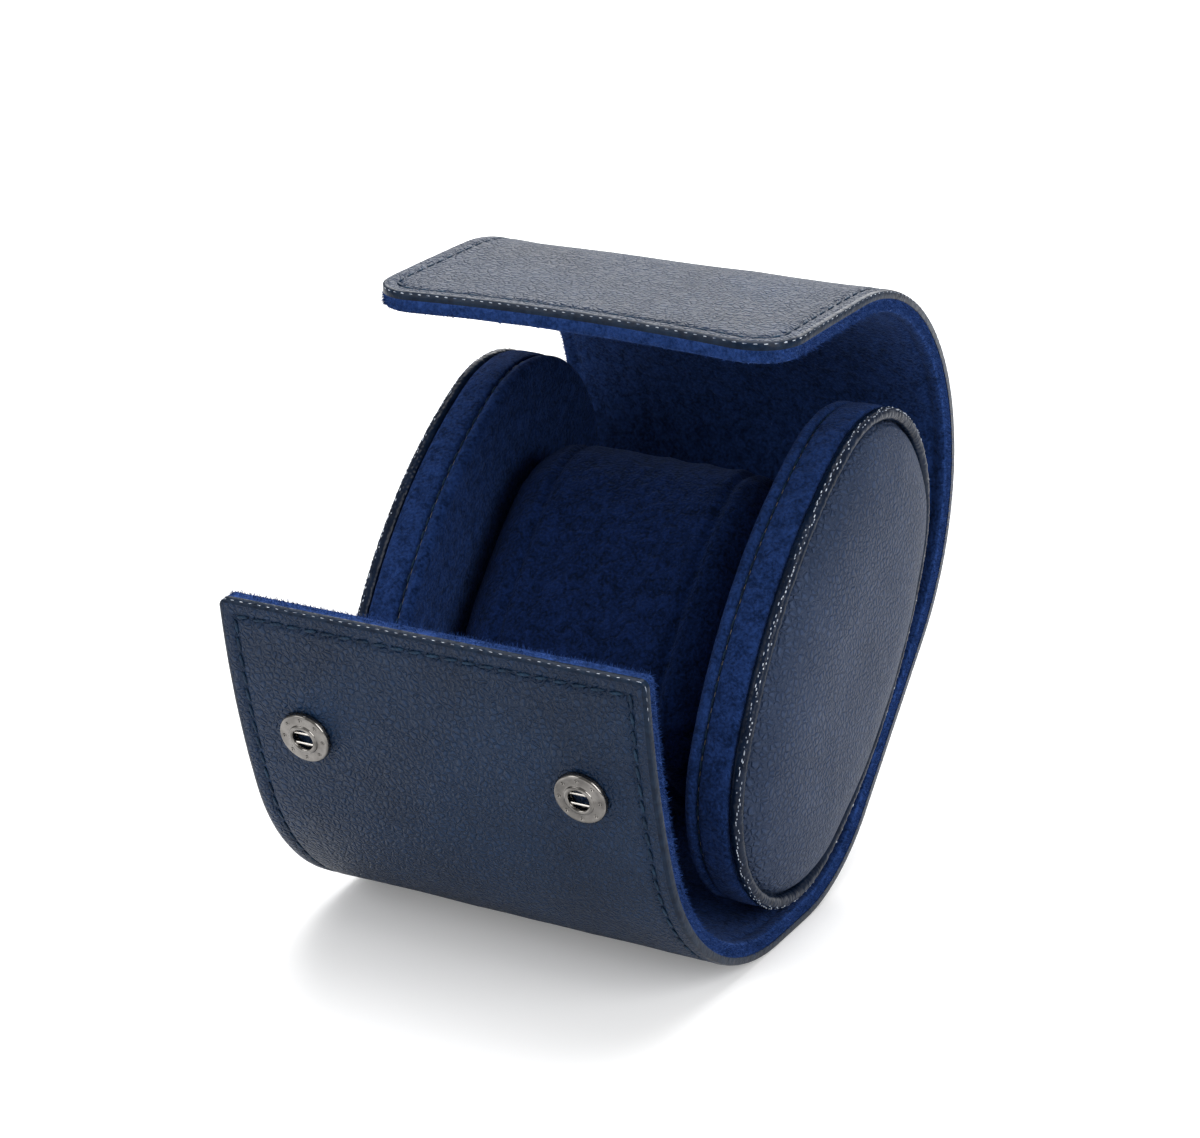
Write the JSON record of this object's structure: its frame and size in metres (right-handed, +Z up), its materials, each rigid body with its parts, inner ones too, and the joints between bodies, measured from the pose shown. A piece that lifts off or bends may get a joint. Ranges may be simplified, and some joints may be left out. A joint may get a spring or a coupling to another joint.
{
  "type": "watch roll",
  "caption": "Leather wrap bent round oval end caps, with two folding flaps closed by snaps and a loose cushion that slides out to take a watch.",
  "frame": {"origin": "middle of the flat under the wrap that the open roll stands on, as in the picture", "axes": "+Z up, X along the roll, +Y to the closed back of the wrap; the front flap rises at -Y"},
  "size_m": [0.095, 0.1339, 0.1182],
  "materials": {
    "leather": "satin",
    "suede": "matte",
    "board": "matte",
    "foam": "matte",
    "gunmetal": "polished",
    "spring_wire": "polished"
  },
  "bodies": {
    "case": {"wrap_base_leather": "leather", "wrap_base_board": "board", "wrap_base_lining": "suede", "left_cap_inner_panel": "suede", "left_cap_inner_board": "board", "left_cap_hoop": "board", "left_cap_band": "suede", "left_cap_outer_board": "board", "left_cap_rim": "leather", "left_cap_pad_foam": "foam", "left_cap_pad_leather": "leather", "right_cap_inner_panel": "suede", "right_cap_inner_board": "board", "right_cap_hoop": "board", "right_cap_band": "suede", "right_cap_outer_board": "board", "right_cap_rim": "leather", "right_cap_pad_foam": "foam", "right_cap_pad_leather": "leather"},
    "front_bend": {"front_bend_leather": "leather", "front_bend_board": "board", "front_bend_lining": "suede"},
    "front_flap": {"front_flap_leather": "leather", "front_flap_board": "board", "front_flap_lining": "suede", "snap_sockets": "gunmetal", "socket_springs": "spring_wire", "socket_eyelets": "gunmetal"},
    "top_back": {"top_back_leather": "leather", "top_back_board": "board", "top_back_lining": "suede"},
    "top_mid": {"top_mid_leather": "leather", "top_mid_board": "board", "top_mid_lining": "suede"},
    "top_flap": {"top_flap_leather": "leather", "top_flap_board": "board", "top_flap_lining": "suede", "snap_studs": "gunmetal", "stud_rivets": "gunmetal"},
    "cushion": {"cushion_cover": "suede", "cushion_ends": "suede", "cushion_core": "foam"}
  },
  "joints": [
    {"name": "front_close", "type": "hinge", "parent": "case", "child": "front_bend", "pos_m": [0, -0.00872, 0.00449], "axis": [-1, 0, 0], "range_deg": [0, 35.5]},
    {"name": "front_flap_fold", "type": "hinge", "parent": "front_bend", "child": "front_flap", "pos_m": [0, -0.04534, 0.0292], "axis": [-1, 0, 0], "range_deg": [0, 18.1]},
    {"name": "top_close", "type": "hinge", "parent": "case", "child": "top_back", "pos_m": [0, 0.05413, 0.03947], "axis": [1, 0, 0], "range_deg": [0, 12]},
    {"name": "top_mid_fold", "type": "hinge", "parent": "top_back", "child": "top_mid", "pos_m": [0, 0.0667, 0.08356], "axis": [1, 0, 0], "range_deg": [0, 21.6]},
    {"name": "top_flap_fold", "type": "hinge", "parent": "top_mid", "child": "top_flap", "pos_m": [0, 0.01503, 0.11385], "axis": [1, 0, 0], "range_deg": [0, 9.6]},
    {"name": "cushion_slide", "type": "slide", "parent": "case", "child": "cushion", "axis": [0, 0.7431, -0.6691], "range_m": [-0.01, 0]}
  ],
  "couplings": [
    {"joint": "front_flap_fold", "follows": "front_close", "ratio": 0.507},
    {"joint": "top_mid_fold", "follows": "top_close", "ratio": 1.72},
    {"joint": "top_flap_fold", "follows": "top_close", "ratio": 0.76}
  ]
}
